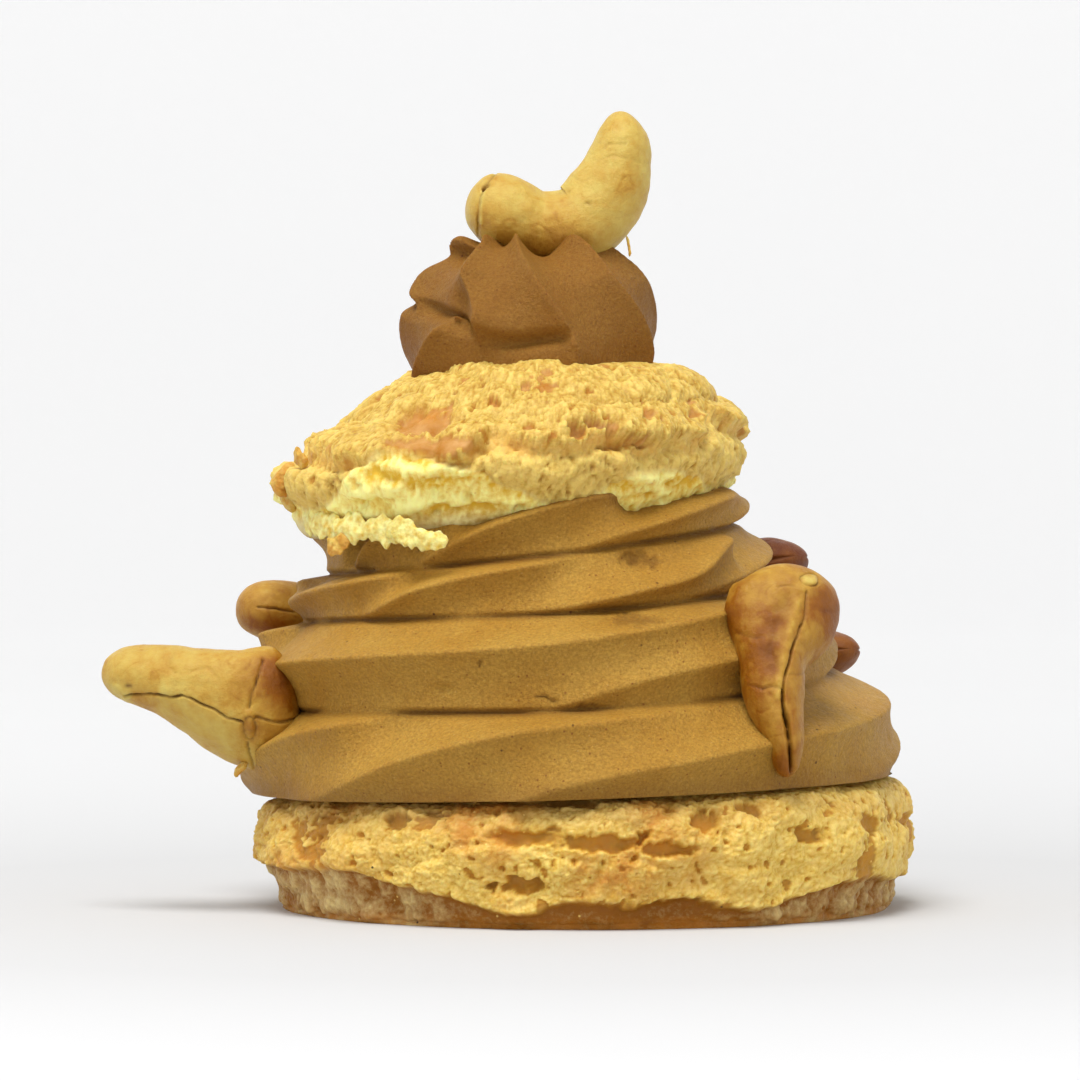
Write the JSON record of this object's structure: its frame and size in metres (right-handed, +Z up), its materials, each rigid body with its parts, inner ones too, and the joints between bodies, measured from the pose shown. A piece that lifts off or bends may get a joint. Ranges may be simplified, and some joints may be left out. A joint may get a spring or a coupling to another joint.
{
  "type": "cream puff",
  "caption": "Tall choux pastry: craggy base, stacked swirls of piped nut cream, torn choux lid, cream rosette and whole roasted cashews",
  "frame": {"origin": "middle of the flat underside of the choux base", "axes": "+Z up; -Y is the front, the side that faces the viewer; +X is the viewer's right, so one cashew points to -X"},
  "size_m": [0.0984, 0.0808, 0.0968],
  "materials": {
    "choux": null,
    "cream": null,
    "cashew": null
  },
  "bodies": {
    "root": {"choux_base": "choux", "cream_tower": "cream", "choux_lid": "choux", "cream_rosette": "cream", "cashew_top": "cashew", "cashew_left": "cashew", "cashew_front": "cashew", "cashew_rear_left": "cashew", "cashew_rear_high": "cashew", "cashew_rear_low": "cashew"}
  },
  "joints": []
}
